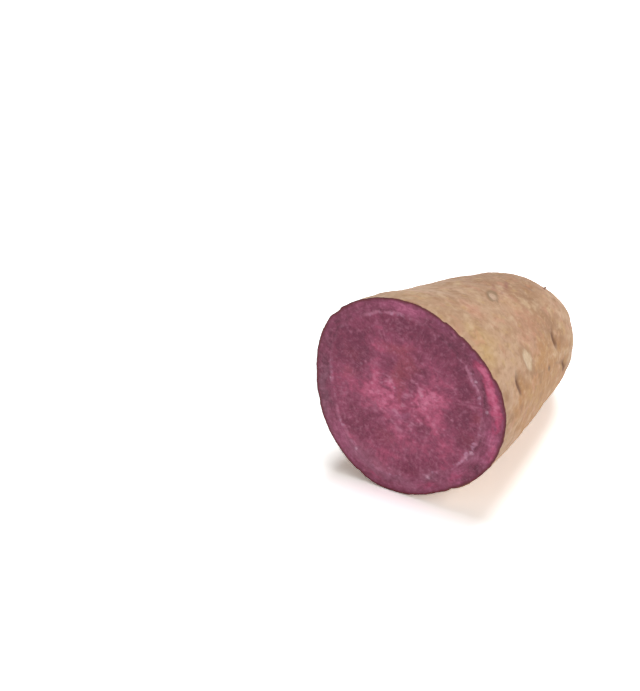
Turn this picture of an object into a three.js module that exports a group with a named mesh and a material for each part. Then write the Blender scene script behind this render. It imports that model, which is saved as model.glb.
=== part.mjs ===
// A sweet potato cut in half across its middle, lying on its side.
// The half is one solid: a blunt, slowly tapering root with a flat knife cut at its wide end.
//
// Units are millimetres. +Y runs along the root, from the cut face to the root's tail, and +Z is up.
// The finished part's origin is the middle of its bounding box, at the level it rests on.
// A place on the root is given by "along", the distance from the cut, and "around", the angle about
// the root's axis in degrees: 0 points to +X, 90 up, 180 to -X and 270 down.

import * as THREE from "three";
import { mergeVertices } from "three/addons/utils/BufferGeometryUtils.js";

// ---- Driving dimensions ------------------------------------------------------------------------

const LENGTH = 92; // from the cut face to the tail
const CUT_RADIUS = 34.6; // mean radius of the cut face
const TAIL_WIDENING = 1.05; // the tail's width over its height
const TAIL_CORE = 24; // the rounded tail spreads from a point this far inside its end
const REST_FLAT = 0.6; // the underside is flattened this deep where the root lies

// Radius against distance from the cut: a slow taper, then a blunt rounded tail.
const PROFILE = [
  [CUT_RADIUS, 0],
  [33.7, 10],
  [31.4, 25],
  [29, 42],
  [26.6, 60],
  [24, 76],
  [19, 87],
  [11.5, 91],
  [0, LENGTH],
];

// The axis sinks towards the tail, because the root gets thinner and its underside lies level.
const AXIS_AT_CUT = new THREE.Vector3(0, 0, 36.9);
const AXIS_BEND = new THREE.Vector3(1.8, LENGTH / 2, 29.5);
const AXIS_AT_TAIL = new THREE.Vector3(0.9, LENGTH, 20.9);

// The cut face is not quite round. Each wave adds "share" of the radius, with a crest at "peak"
// degrees, "order" times round the outline. The waves fade to nothing at the tail.
const OUTLINE_WAVES = [
  { order: 2, share: 0.026, peak: 82.5 },
  { order: 3, share: 0.036, peak: 6.5 },
  { order: 4, share: 0.006, peak: -17 },
  { order: 6, share: 0.0065, peak: 22.5 },
];

// Swellings (height above 0) and hollows (below 0), each a round hump "width" wide.
const HUMPS = [
  { along: 84, around: 35, width: 9, height: 0.9 }, // shoulder of the tail
  { along: 84, around: 352, width: 9, height: -1.3 },
  { along: 66, around: 20, width: 9, height: -0.5 },
  { along: 29, around: 98, width: 8, height: -0.5 }, // dip along the top
  { along: 41, around: 106, width: 8, height: 0.4 },
  { along: 18, around: 152, width: 9, height: -0.7 },
  { along: 50, around: 205, width: 12, height: 0.7 },
  { along: 74, around: 150, width: 10, height: 0.6 },
  { along: 60, around: 180, width: 8, height: -0.6 },
  { along: 30, around: 330, width: 11, height: 0.5 },
  { along: 70, around: 110, width: 8, height: -0.5 },
];

// Eyes: the dents where side roots grew.
const EYES = [
  { along: 56, around: 24, width: 4.5, height: -1.2 },
  { along: 12, around: 19, width: 4.5, height: -0.8 },
  { along: 60, around: 2, width: 4, height: -0.6 },
  { along: 33, around: 167, width: 4.5, height: -1.1 },
  { along: 67, around: 138, width: 4.5, height: -1.2 },
  { along: 20, around: 204, width: 4.5, height: -0.8 },
  { along: 52, around: 322, width: 4.5, height: -0.9 },
  { along: 91, around: 70, width: 4, height: -0.8 },
];

// Mesh fineness.
const SEGMENTS_AROUND = 72;
const RINGS_ALONG = 42;

// ---- Shape -------------------------------------------------------------------------------------

const axisCurve = new THREE.QuadraticBezierCurve3(
  AXIS_AT_CUT,
  AXIS_BEND,
  AXIS_AT_TAIL,
);

/** The point on the root's axis at a distance from the cut. */
function axisPoint(along) {
  const share = THREE.MathUtils.clamp(along / LENGTH, 0, 1);
  const point = axisCurve.getPoint(share);
  point.y = along;
  return point;
}

/** How far out the section's outline is in one direction, as a share of its mean radius. */
function outlineShare(around, along) {
  const fade = 1 - along / LENGTH;
  let share = 1;
  for (const { order, share: size, peak } of OUTLINE_WAVES) {
    share += size * fade * Math.cos(order * (around - THREE.MathUtils.degToRad(peak)));
  }
  return share;
}

/** The point on the smooth root for a mean radius, a distance from the cut and an angle. */
function rootPoint(radius, along, around) {
  const axis = axisPoint(along);
  const reach = radius * outlineShare(around, along);
  const widening = 1 + ((TAIL_WIDENING - 1) * along) / LENGTH;
  return new THREE.Vector3(
    axis.x + reach * widening * Math.cos(around),
    along,
    axis.z + reach * Math.sin(around),
  );
}

/** The unit vector out of the root at a point on it, fanning out from one point over the tail. */
function outwardAt(point) {
  const core = axisPoint(Math.min(point.y, LENGTH - TAIL_CORE));
  return point.clone().sub(core).normalize();
}

const profileCurve = new THREE.SplineCurve(
  PROFILE.map(([radius, along]) => new THREE.Vector2(radius, along)),
);

/** The profile's radius at a distance from the cut, by halving the curve's parameter. */
function profileRadius(along) {
  let low = 0;
  let high = 1;
  const halvings = 30;
  for (let i = 0; i < halvings; i++) {
    const middle = (low + high) / 2;
    if (profileCurve.getPoint(middle).y < along) low = middle;
    else high = middle;
  }
  return profileCurve.getPoint(low).x;
}

const humps = [...HUMPS, ...EYES].map(({ along, around, width, height }) => ({
  centre: rootPoint(
    profileRadius(along),
    along,
    THREE.MathUtils.degToRad(around),
  ),
  width,
  height,
}));

/** How far the swellings and hollows move a point out of the smooth root. */
function humpHeight(point) {
  return humps.reduce((sum, { centre, width, height }) => {
    const distance = point.distanceTo(centre) / width;
    return sum + height * Math.exp(-distance * distance);
  }, 0);
}

/** The half root: a lathed blank with a flat front, warped to the root's own shape. */
function halfRootGeometry() {
  const skin = profileCurve.getPoints(RINGS_ALONG);
  const cutCentre = new THREE.Vector2(0, 0);
  const blank = new THREE.LatheGeometry([cutCentre, ...skin], SEGMENTS_AROUND);
  blank.deleteAttribute("normal");
  blank.deleteAttribute("uv");
  const geometry = mergeVertices(blank, 1e-3);

  const position = geometry.getAttribute("position");
  for (let i = 0; i < position.count; i++) {
    const turned = new THREE.Vector3().fromBufferAttribute(position, i);
    const radius = Math.hypot(turned.x, turned.z);
    const around = Math.atan2(turned.z, turned.x);
    const point = rootPoint(radius, turned.y, around);
    const onSkin = radius > 0 || turned.y > 0;
    if (onSkin) point.addScaledVector(outwardAt(point), humpHeight(point));
    point.z = Math.max(point.z, REST_FLAT);
    position.setXYZ(i, point.x, point.y, point.z);
  }

  geometry.computeBoundingBox();
  const middle = geometry.boundingBox.getCenter(new THREE.Vector3());
  geometry.translate(-middle.x, -middle.y, -geometry.boundingBox.min.z);
  geometry.computeVertexNormals();
  return geometry;
}

// ---- Part --------------------------------------------------------------------------------------

const skinMaterial = new THREE.MeshStandardMaterial({
  color: new THREE.Color(0xbd9675),
  roughness: 0.75,
  metalness: 0,
});

const halfRoot = new THREE.Mesh(halfRootGeometry(), skinMaterial);
halfRoot.name = "sweet_potato_half";

const part = new THREE.Group();
part.add(halfRoot);

export default part;
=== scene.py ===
"""Looks of a purple sweet potato half: tan skin with eyes and scars, and a moist purple cut face.

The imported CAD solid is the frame. A fine mesh is cast onto it and sculpted, then painted with
procedural materials. Sculpting is done in millimetres in the part's frame: +Y runs from the cut face
to the tail, and +Z is up. A place on the skin is given as in the CAD: "along", the distance from the
cut, and "around", the angle about the root's core in degrees, with 0 to +X and 90 up. A place on the
cut face is given by its X and Z.
"""

import math

import bpy
import numpy as np
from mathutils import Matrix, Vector, noise
from mathutils.bvhtree import BVHTree


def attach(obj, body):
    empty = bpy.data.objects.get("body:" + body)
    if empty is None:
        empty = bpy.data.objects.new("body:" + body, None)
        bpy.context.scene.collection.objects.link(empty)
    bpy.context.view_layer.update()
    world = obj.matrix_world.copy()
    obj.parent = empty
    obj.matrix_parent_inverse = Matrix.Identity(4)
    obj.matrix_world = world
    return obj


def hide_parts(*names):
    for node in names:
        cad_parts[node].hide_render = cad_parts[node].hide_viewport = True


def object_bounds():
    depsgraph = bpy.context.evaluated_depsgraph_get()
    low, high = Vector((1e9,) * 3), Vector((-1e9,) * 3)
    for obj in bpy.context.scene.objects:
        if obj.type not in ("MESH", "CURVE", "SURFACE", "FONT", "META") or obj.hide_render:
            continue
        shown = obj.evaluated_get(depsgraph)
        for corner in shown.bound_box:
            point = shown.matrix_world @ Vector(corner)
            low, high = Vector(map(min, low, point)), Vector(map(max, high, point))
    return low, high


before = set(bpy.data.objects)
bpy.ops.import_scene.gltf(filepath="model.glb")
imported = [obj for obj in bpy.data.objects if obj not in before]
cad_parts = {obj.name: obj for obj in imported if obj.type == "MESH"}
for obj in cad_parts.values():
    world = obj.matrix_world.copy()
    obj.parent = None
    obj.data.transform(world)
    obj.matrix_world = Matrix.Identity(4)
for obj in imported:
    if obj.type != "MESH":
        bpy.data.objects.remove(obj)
CAD_LOW, CAD_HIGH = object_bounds()

# ---- Sizes from the frame ----

MM = 0.001
LOW = np.array(CAD_LOW) / MM
HIGH = np.array(CAD_HIGH) / MM
WIDTH, LENGTH, HEIGHT = HIGH - LOW
CUT_Y = LOW[1]

# The core runs inside the root from the cut to a point TAIL_REACH short of the tail's end. Rays fan
# out from it, square to +Y along the root and over the tail's end from its last point.
CORE_AT_CUT = np.array([-0.018 * WIDTH, 0.507 * HEIGHT])
CORE_BEND = np.array([0.009 * WIDTH, 0.404 * HEIGHT])
CORE_AT_TAIL = np.array([-0.005 * WIDTH, 0.284 * HEIGHT])
TAIL_REACH = 24.0
STRAIGHT = LENGTH - TAIL_REACH

# ---- Mesh fineness ----

CELLS = 112  # along each side of the square grids that cover the cut face and the tail's end
AROUND = 4 * CELLS
RING_STEP = 0.55  # mm between rings of skin
EDGE_RINGS = [0.12, 0.3, 0.6]  # closer rings at the cut's sharp edge
CAP_START = math.radians(20)  # how far over the tail the rings go before the square grid
SHARP = math.radians(50)  # a fold sharper than this is shaded as an edge

# ---- Listed detail ------------------------------------------------------------------------------

# Eyes: dents where side roots grew, steep on the cut side, with a lip before them, and a crescent of
# painted shadow on the steep wall and the floor just behind it.
# (along, around, half width around, half length along, depth, lip, turn)
EYES = [
    (56.4, 24.5, 3.8, 2.8, 1.15, 0.25, 8), (13.0, 18.5, 3.6, 2.4, 1.15, 0.30, -6),
    (61.6, -0.5, 2.8, 1.6, 1.00, 0.35, 12), (66.8, 66.5, 2.2, 1.8, 0.70, 0.15, -20),
    (33.0, 167, 3.2, 2.2, 1.10, 0.30, -6), (67.0, 138, 3.0, 2.2, 1.10, 0.30, 10),
    (20.0, 204, 2.6, 1.8, 0.90, 0.25, -8), (52.0, 322, 2.8, 2.0, 0.90, 0.25, 6),
    (46.0, 128, 2.0, 1.4, 0.60, 0.20, 4), (77.0, 190, 2.4, 1.6, 0.70, 0.25, -12),
    (30.0, 342, 1.6, 1.2, 0.50, 0.15, 10), (84.0, 100, 2.0, 1.4, 0.50, 0.20, 20),
]

# Scars: round or oval marks with a thin raised rim. Tone 1 is pale cork and 0 is dull mauve brown,
# and line is how dark the ring round the mark is.
# (along, around, half width around, half length along, turn, rim height, tone, line)
SCARS = [
    (27.7, 26.0, 3.8, 3.7, 0, 0.16, 1.0, 0.1),
    (40.3, 71.8, 1.8, 4.1, -24, 0.14, 0.55, 0.8),
    (46.0, 158, 3.0, 2.6, 0, 0.14, 0.85, 0.3),
    (14.0, 176, 2.0, 1.8, 20, 0.12, 0.30, 0.8),
    (58.0, 212, 2.6, 2.4, 0, 0.12, 0.45, 0.9),
    (26.0, 122, 1.8, 2.2, -20, 0.10, 0.20, 0.5),
    (38.0, 316, 2.4, 2.2, 0, 0.12, 0.70, 0.6),
    (80.0, 150, 1.9, 1.8, 0, 0.10, 0.35, 0.8),
]

# Creases: dark grooves, or flat dark marks of depth 0, along a line of places on the skin. Their
# darkness is mostly painted shade in the eyes and dents, and the rest is dark marks of the skin.
# (half width, depth, strength, places)
CREASES = [
    (0.8, 0.20, 0.4, [(53.0, 8.5), (57.0, 5.5), (61.0, 2.5)]),
    (1.3, 0.20, 1.1, [(61.0, 2.5), (63.0, -0.5), (64.0, -4.0)]),
    (1.3, 0.0, 1.1, [(14.5, 19.0), (14.3, 14.0)]),
    (1.5, 0.0, 0.4, [(16.0, 22.5), (14.5, 19.0)]),
    (1.5, 0.0, 0.9, [(58.4, 25.5), (58.8, 20.0)]),
    (1.5, 0.0, 0.35, [(56.2, 31.0), (56.6, 26.0)]),
    (1.2, 0.0, 0.55, [(67.0, 69.5), (67.5, 64.0)]),
    (1.8, 0.0, 0.3, [(58.1, 63.0), (60.9, 56.0)]),
    (0.8, 0.20, 0.6, [(33.2, 160), (34.0, 165), (33.4, 172)]),
    (0.8, 0.20, 0.6, [(67.2, 131), (68.0, 137), (67.2, 144)]),
    (0.8, 0.20, 0.6, [(20.2, 198), (21.0, 204), (20.3, 210)]),
    (0.8, 0.20, 0.6, [(52.2, 316), (53.0, 322), (52.4, 328)]),
    (0.7, 0.15, 0.5, [(8.0, 262), (10.0, 268), (10.4, 275)]),
    (0.7, 0.15, 0.4, [(70.0, 282), (71.4, 290), (71.0, 297)]),
]

# Dark dots where hair roots broke off: (along, around, radius)
DOTS = [
    (44.2, 10.5, 1.2), (50.5, 40, 0.4), (20.5, 84, 0.4), (72.0, 84, 0.5), (63.0, 108, 0.6),
    (23.0, 140, 0.6), (55.0, 168, 0.7), (39.0, 192, 0.6), (68.0, 344, 0.7), (19.0, 338, 0.5),
    (74.0, 225, 0.6), (10.0, 120, 0.5),
]

# Soft stains on the skin: (along, around, radius in mm, strength), or with a half width around, a
# half length along and a turn in place of the radius. Blush is pink, straw is yellow, earth is brown,
# ochre is orange and mauve is a dull purple brown. The earth patches at the eyes are painted shade
# of their dents, and the rest are brown stains.
BLUSH = [
    (21, 70, 6, 1.0), (51, 77, 6, 1.0), (44, 45, 11, 0.8), (32, 34, 7, 0.4), (63, 38, 8, 0.4),
    (13, 12, 7, 0.5), (2, 62, 5, 0.5), (30, -4, 9, 0.4), (61, -8, 3.5, 1.4), (57, 77, 3, 1.0),
    (14, 3, 5, 0.5), (48, 150, 9, 0.8), (20, 185, 8, 0.6), (70, 170, 8, 0.7), (34, 330, 8, 0.6),
    (88, 60, 8, 0.5),
]
STRAW = [
    (9, 57, 5, 0.7), (4, 42, 6, 0.8), (14, 46, 5, 0.5), (8, 95, 8, 0.6), (36, 8, 7, 0.6),
    (28, 14, 6, 0.5), (46, 60, 6, 0.5), (66, 52, 6, 0.4), (75, 10, 7, 0.5), (28, 150, 8, 0.6),
    (60, 190, 8, 0.5), (12, 300, 9, 0.5),
]
# Earth: brown stains, and painted shade of the dents at the eyes.
EARTH_AND_SHADE = [
    (57, 64, 5, 0.8), (70, 76, 7, 0.9), (62, 98, 14, 1.6), (54, 92, 11, 1.3), (79, 82, 5, 1.8),
    (61, 24, 6, 1.6), (16, 17, 3, 1.0), (32, 0, 10, 0.5), (33, 57, 8, 0.5), (58, 52, 6, 0.5),
    (52, -2, 8, 0.5), (58.5, 62, 3.5, 0.7), (62, 36, 8, 0.5), (57, 50, 9, 0.7), (48, 26, 7, 0.6),
    (42, 40, 9, 0.7), (61, 86, 4, 0.5), (17, 17, 4.5, 1.3), (67, -3, 5, 0.4), (33, 98, 6, 0.4),
    (40, 205, 12, 0.5), (75, 130, 8, 0.5), (50, 270, 24, 0.5),
]

OCHRE = [
    (30, -4, 14, 1.3), (54, -6, 12, 1.0), (12, 4, 9, 0.9), (46, 20, 9, 0.5), (72, 20, 9, 0.4),
    (44, 300, 16, 0.6), (24, 200, 12, 0.4),
]

MAUVES = [
    (58.0, 77.0, 0.9, 6.0, -22, 1.0), (50.5, 80.5, 0.8, 5.0, -30, 0.7),
    (47.5, 71.5, 0.8, 3.5, -10, 0.6), (46.0, 77.5, 0.7, 2.5, -26, 0.5),
    (62, 217, 1.2, 4.0, 20, 0.8), (27, 124, 0.9, 4.0, 15, 0.7), (76, 320, 1.0, 3.5, -20, 0.7),
]

# Stains in the flesh: (x, z, half width, half height, turn, strength).
PINK = [
    (-8, 36, 5, 3.6, 0, 1.4), (-13, 43, 3.2, 5, 10, 0.9), (-17, 35, 5, 3.6, 0, 0.75),
    (-6, 31.5, 7, 3, 0, 1.0), (-5, 41.5, 2.5, 2.5, 0, 0.9), (4, 36, 4, 3.5, 0, 1.1),
    (10, 35, 5, 4, 0, 0.8), (9, 40, 6, 1.8, 0, 1.2), (12, 45, 6, 3.5, 0, 0.35),
    (-3, 25, 5, 4, -20, 0.7), (9, 29.5, 4, 3, 0, 0.7), (14, 24, 6, 2.6, 30, 0.5),
    (-11, 52, 5, 3.5, 20, 0.6), (-5, 54.5, 6, 3, 25, 0.6), (0, 49, 3, 3, 0, 0.5),
    (-24, 40, 6, 2.2, 0, 0.5), (23, 41, 5, 1.2, 5, 0.5), (-10, 12, 8, 4, 0, 0.5),
    (0, 18, 7, 4, 0, 0.3), (22, 23, 2.4, 4, -38, 0.9), (29, 29, 2.4, 6, -8, 0.8),
    (-10, 6.5, 9, 3, 0, 0.6), (19, 14, 4, 2, 35, 0.4), (-15, 20, 6, 5, 0, 0.25),
    (-24, 14, 4, 6, 35, 0.8), (-2, 69, 7, 2.0, 0, 1.5), (2, 4.5, 8, 2.0, 10, 0.9),
    (29.5, 33, 2.0, 6, -4, 0.6), (18, 14, 5, 3, 35, 0.5),
]
DARK = [
    (-23, 52, 4, 5, 0, 0.9), (-20.5, 47.5, 5, 4, 0, 2.0), (-18, 56, 5, 3, 0, 0.7),
    (-26, 55, 3, 6, -35, 0.5), (0, 61.5, 11, 3, -6, 1.4), (9, 59, 4, 4, 0, 0.7),
    (15, 56, 6, 4, -40, 0.6), (-6, 53.5, 6, 3, 0, 0.5), (-20, 51, 6, 4, 0, 0.6),
    (18.5, 47, 3.2, 6, 5, 1.0), (5, 48, 2.2, 2.5, 0, 0.7), (18, 36, 4, 3.8, 0, 1.8),
    (21, 28, 3, 3.4, -20, 1.1), (5, 28, 2.0, 2.4, 0, 0.9), (-16, 23.5, 7, 4, 10, 0.6),
    (-19, 19, 4, 3, 0, 0.5), (1, 12.5, 3, 3, 0, 0.7), (-8, 47, 2.4, 2.5, 0, 0.6),
    (-8, 39.2, 2.0, 1.0, 0, 0.7), (25.6, 46, 1.1, 6, 12, 1.1), (18, 62, 5, 2, -38, 0.7),
    (24, 17, 2.4, 6, -38, 0.7), (-31.5, 34, 2.4, 12, 0, 1.5),
]
CRIMSON = [
    (25.2, 54.8, 1.8, 3.6, 34, 1.1), (28.0, 48.5, 2.2, 4.4, 20, 1.05), (29.9, 42, 2.3, 3.8, 8, 1.0),
    (30.5, 36, 1.5, 3.5, 0, 0.6), (29.5, 27, 1.6, 4.5, -12, 0.5), (18, 13, 4, 2, 35, 0.4),
    (7, 6, 5, 1.8, 25, 0.35), (-12, 4.5, 6, 1.6, -12, 0.35),
]
RED_BROWN = [
    (-3, 44.5, 3.4, 3, 0, 1.0), (0, 49, 4, 3.5, -10, 1.1), (-3, 54.5, 4.5, 2.5, 20, 0.8),
    (-2.6, 38, 1.2, 5, 5, 0.8), (-20, 47.5, 4, 3, 0, 0.6), (-8, 53.5, 5, 3, 0, 0.5),
    (24, 37, 3, 2, 0, 0.7), (21, 28, 3, 3.5, -20, 0.5), (-22, 40.5, 4, 1.8, 0, 0.8),
    (-8, 20, 5, 4, 0, 0.6), (-29, 51, 2, 5, -25, 0.3),
]
VIOLET = [
    (22, 58.5, 3, 2.4, -45, 0.8), (-24, 57, 3, 5, -40, 0.4), (10, 66.5, 6, 1.8, -20, 0.7),
    (-9, 68, 7, 1.6, 10, 0.4), (26, 21, 3, 5, -38, 0.5), (32, 30, 1.2, 5, -10, 0.6),
    (13, 4.5, 5, 1.6, 18, 0.4),
]
LILACS = [
    (-3, 29.6, 4, 1.8, 0, 1.2), (22.5, 49, 1.8, 5, 18, 0.4), (-2, 25, 5, 3, 0, 0.4),
]
# Ash rose patches. The wide ones low on the cut make the flesh lighter towards its bottom, partly
# painted light from below and partly the flesh's own paler colour.
ASH = [
    (-15, 9.5, 9, 4.5, -28, 1.2), (-5, 7, 7, 3.5, 0, 0.7), (2, 4, 7, 2.5, 0, 0.7),
    (-31, 34, 2.2, 10, 0, 0.9), (-29, 22, 2.4, 7, 25, 0.5), (8, 10, 4, 3, 0, 0.8),
    (15, 13, 6, 3, 28, 0.4), (22.5, 49, 1.8, 5, 18, 0.7), (22, 23, 2.6, 4.5, -38, 0.9),
    (26.5, 34, 1.6, 4, 0, 0.5), (0, 18, 9, 5, 0, 0.4),
]

# Stretches of the pale ring of vessels, by angles about the core in degrees:
# (first angle, last angle, strength)
RING_STRETCHES = [
    (88, 120, 0.9), (62, 84, 0.5), (14, 48, 1.0), (-14, 4, 0.6), (-46, -16, 1.0), (-76, -58, 0.6),
    (-112, -88, 0.6), (-168, -124, 0.8), (156, 184, 0.4), (128, 142, 0.25),
]

# Bright specks of sap: (x, z, radius, strength)
SPECKS = [
    (21.6, 53.0, 0.8, 0.7), (22.8, 50.2, 0.8, 1.0), (23.8, 47.6, 0.7, 0.6), (27.0, 40.6, 0.9, 0.9),
    (25.5, 31.0, 0.7, 0.5), (24.6, 26.6, 0.7, 0.5), (22.6, 24.2, 1.0, 1.0), (20.8, 21.6, 1.0, 0.9),
    (7.8, 10.0, 1.2, 0.9), (-2.0, 8.0, 1.0, 0.5), (-6.5, 8.6, 0.8, 0.5), (-18.6, 12.0, 0.8, 0.9),
    (-28.4, 36.2, 0.7, 0.7), (-27.6, 26.5, 0.9, 0.5), (-6.5, 41.5, 1.2, 0.7),
    (-5.2, 39.5, 1.0, 0.7), (4.5, 40.0, 1.4, 0.7), (-17.0, 44.8, 0.7, 0.7), (-4.6, 44.8, 0.7, 0.6),
    (-11.0, 36.5, 0.8, 0.4), (-3.0, 66.0, 1.0, 0.5),
]

# Pale hairlines: (x, z) of their two ends, half width, strength
HAIRLINES = [
    (12, 40.2, 27.5, 41.6, 0.5, 0.55), (-27, 41.0, -16, 39.2, 0.6, 0.35),
    (25, 29.5, 30.5, 29.0, 0.4, 0.7), (2, 19, 12, 21.5, 0.4, 0.3),
]

# Nicks where the skin's edge broke under the knife: (around, half width in degrees, depth)
NICKS = [
    (29.5, 1.2, 0.5), (48, 0.9, 0.3), (57, 1.3, 0.4), (68.5, 1.1, 0.45), (133, 1.5, 0.4),
    (196, 1.3, 0.3), (243, 1.2, 0.35), (301, 1.4, 0.35),
]

# Little root ends that stand on the skin:
# (along, around, length, base radius, lean towards the tail)
ROOT_ENDS = [
    (79.5, 61, 0.8, 0.40, 0.2), (33.2, 166, 1.6, 0.45, 0.5), (67.3, 137, 1.3, 0.50, 0.3),
    (91.0, 62, 2.4, 0.75, 0.1),
]


# ---- Mesh ----


def disc_grid(cells):
    """A square grid bent into a unit disc: each point's reach from the middle and its angle."""
    steps = np.linspace(-1, 1, cells + 1)
    u, v = np.meshgrid(steps, steps, indexing="ij")
    sideways = np.abs(u) > np.abs(v)
    reach = np.where(sideways, u, v)
    with np.errstate(divide="ignore", invalid="ignore"):
        turn = np.nan_to_num(np.where(sideways, v / u, 2 - u / v)) * math.pi / 4
    x, y = reach * np.cos(turn), reach * np.sin(turn)
    return np.hypot(x, y), np.arctan2(y, x)


def border(ids):
    """A square grid's border ids in the order of their angle, from -45 degrees."""
    return np.concatenate([ids[-1, :-1], ids[:0:-1, -1], ids[0, :0:-1], ids[:-1, 0]])


def core_point(y):
    """The core's points at heights above the cut, as rows of X, Y and Z."""
    share = np.clip((np.asarray(y, float) - CUT_Y) / LENGTH, 0, 1)[..., None]
    cross = (1 - share) ** 2 * CORE_AT_CUT + 2 * share * (1 - share) * CORE_BEND
    cross = cross + share**2 * CORE_AT_TAIL
    return np.stack([cross[..., 0], np.asarray(y, float), cross[..., 1]], -1)


def cad_tree():
    """The CAD solid's faces, for casting rays onto."""
    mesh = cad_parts["sweet_potato_half"].data
    corners = [Vector(v.co) / MM for v in mesh.vertices]
    return BVHTree.FromPolygons(corners, [tuple(p.vertices) for p in mesh.polygons])


TREE = cad_tree()


def cast(origins, directions):
    """Where rays from inside the solid leave it."""
    found = np.empty_like(origins)
    for i, (start, way) in enumerate(zip(origins, directions)):
        found[i] = TREE.ray_cast(Vector(start), Vector(way))[0]
    return found


def over_root(path, angle):
    """Origins and directions of the rays for a path length from the cut and an angle around."""
    y = CUT_Y + np.minimum(path, STRAIGHT)
    lift = np.maximum(path - STRAIGHT, 0) / TAIL_REACH
    ways = np.stack(
        [np.cos(lift) * np.cos(angle), np.sin(lift), np.cos(lift) * np.sin(angle)],
        -1,
    )
    return core_point(y), ways


def ring_paths():
    """How far each ring of skin is from the cut, along the root and a little over its tail."""
    end = STRAIGHT + CAP_START * TAIL_REACH
    first = EDGE_RINGS[-1]
    count = round((end - first) / RING_STEP)
    return np.concatenate([EDGE_RINGS[:-1], np.linspace(first, end, count + 1)])


class Skeleton:
    """The mesh's vertices and faces: a grid on the cut, rings of skin, and a grid on the tail."""

    def __init__(self):
        self.reach, self.angle = disc_grid(CELLS)
        self.paths = ring_paths()
        grid = self.reach.size
        self.cut_ids = np.arange(grid).reshape(self.reach.shape)
        rings = len(self.paths) - 1
        ring_ids = grid + np.arange(rings * AROUND).reshape(rings, AROUND)
        self.cap_ids = self.cut_ids + grid + rings * AROUND
        self.rim = border(self.cut_ids)
        self.rings = np.vstack([self.rim, ring_ids, border(self.cap_ids)])
        self.turns = border(self.angle)
        self.count = 2 * grid + rings * AROUND
        self.faces = np.vstack([self.cut_faces(), self.skin_faces(), self.cap_faces()])
        self.flesh_faces = CELLS * CELLS
        edges = np.vstack([self.faces[:, [i, (i + 1) % 4]] for i in range(4)])
        self.edges = np.unique(np.sort(edges, 1), axis=0)

    def cut_faces(self):
        g = self.cut_ids
        return np.stack([g[:-1, :-1], g[1:, :-1], g[1:, 1:], g[:-1, 1:]], -1).reshape(-1, 4)

    def skin_faces(self):
        near, far = self.rings[:-1], self.rings[1:]
        quads = [near, far, np.roll(far, -1, 1), np.roll(near, -1, 1)]
        return np.stack(quads, -1).reshape(-1, 4)

    def cap_faces(self):
        g = self.cap_ids
        return np.stack([g[:-1, :-1], g[:-1, 1:], g[1:, 1:], g[1:, :-1]], -1).reshape(-1, 4)

    def neighbour_mean(self, values):
        """The mean of each vertex's neighbours."""
        a, b = self.edges.T
        to, of = np.concatenate([a, b]), np.concatenate([b, a])
        near = np.bincount(to, minlength=self.count)
        columns = [np.bincount(to, c[of], self.count) / near for c in np.atleast_2d(values.T)]
        return np.stack(columns, -1) if values.ndim > 1 else columns[0]

    def round_rim(self, values):
        """Values given round the rim, read at the angle of each of the cut's vertices."""
        order = np.argsort(self.turns)
        return np.interp(self.angle.ravel(), self.turns[order], values[order], period=2 * math.pi)

    def normals(self, points):
        """Unit vertex normals."""
        corner = points[self.faces]
        face = np.cross(corner[:, 2] - corner[:, 0], corner[:, 3] - corner[:, 1])
        total = np.stack(
            [
                sum(np.bincount(self.faces[:, i], face[:, k], self.count) for i in range(4))
                for k in range(3)
            ],
            -1,
        )
        return total / np.linalg.norm(total, axis=1, keepdims=True)


def base_points(mesh):
    """The root's smooth surface: the CAD solid with its facets smoothed away."""
    points = np.zeros((mesh.count, 3))
    angle = np.tile(mesh.turns, (len(mesh.paths), 1))
    path = np.repeat(mesh.paths[:, None], AROUND, 1)
    points[mesh.rings[1:].ravel()] = cast(*over_root(path.ravel(), angle.ravel()))

    edge = 0.02  # just inside the cut, where a ray can't slip past the rim
    origins, ways = over_root(np.full(AROUND, edge), mesh.turns)
    rim = cast(origins, ways)
    rounds = 6
    for _ in range(rounds):
        rim = rim / 2 + (np.roll(rim, 1, 0) + np.roll(rim, -1, 0)) / 4
    rim[:, 1] = CUT_Y
    points[mesh.rim] = rim

    lift = math.pi / 2 - (math.pi / 2 - CAP_START) * mesh.reach
    origins, ways = over_root(STRAIGHT + lift.ravel() * TAIL_REACH, mesh.angle.ravel())
    points[mesh.cap_ids.ravel()] = cast(origins, ways)

    held = np.zeros(mesh.count, bool)
    held[mesh.cut_ids] = True
    rounds = 24
    for _ in range(rounds):
        mean = mesh.neighbour_mean(points)
        points = np.where(held[:, None], points, (points + mean) / 2)
    return points


def fill_cut(mesh, points):
    """Spreads the cut's grid flat inside its rim."""
    middle = core_point(CUT_Y)
    for k in (0, 2):
        edge = mesh.round_rim(points[mesh.rim, k])
        spread = middle[k] + (edge - middle[k]) * mesh.reach.ravel()
        inside = mesh.reach.ravel() < 1
        points[mesh.cut_ids.ravel()[inside], k] = spread[inside]
    points[mesh.cut_ids.ravel(), 1] = CUT_Y


# ---- Sculpting ----

FAR = 99.0  # mm, further from a mark than it reaches
SKIN_REACH = 6.0  # mm off a mark's plane, past which the skin is no part of the mark
SCAR_REACH = 1.7  # half sizes from a scar's middle to where its marks end
NO_SCAR = [9.0, 9.0, 0.0]  # the scar mask past that
DOT_DEPTH = 0.2  # mm


def surface_spot(along, around):
    """A point on the skin, with unit vectors around, along and out of it."""
    turn = math.radians(around)

    def at(path, angle):
        y = np.array([CUT_Y + path])
        way = np.array([[math.cos(angle), 0, math.sin(angle)]])
        return cast(core_point(y), way)[0]

    here = at(along, turn)
    step, swing = 1.0, 0.03  # mm along and radians around, to either side
    back, ahead = at(max(along - step, 0.05), turn), at(min(along + step, LENGTH - 1), turn)
    across = at(along, turn + swing) - at(along, turn - swing)
    ahead = (ahead - back) / np.linalg.norm(ahead - back)
    across = across - ahead * (across @ ahead)
    across = across / np.linalg.norm(across)
    return here, across, ahead, np.cross(ahead, across)


def turn_axes(a, b, degrees):
    """Two coordinates as seen along axes turned by some degrees."""
    t = math.radians(degrees)
    return a * math.cos(t) + b * math.sin(t), b * math.cos(t) - a * math.sin(t)


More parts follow.
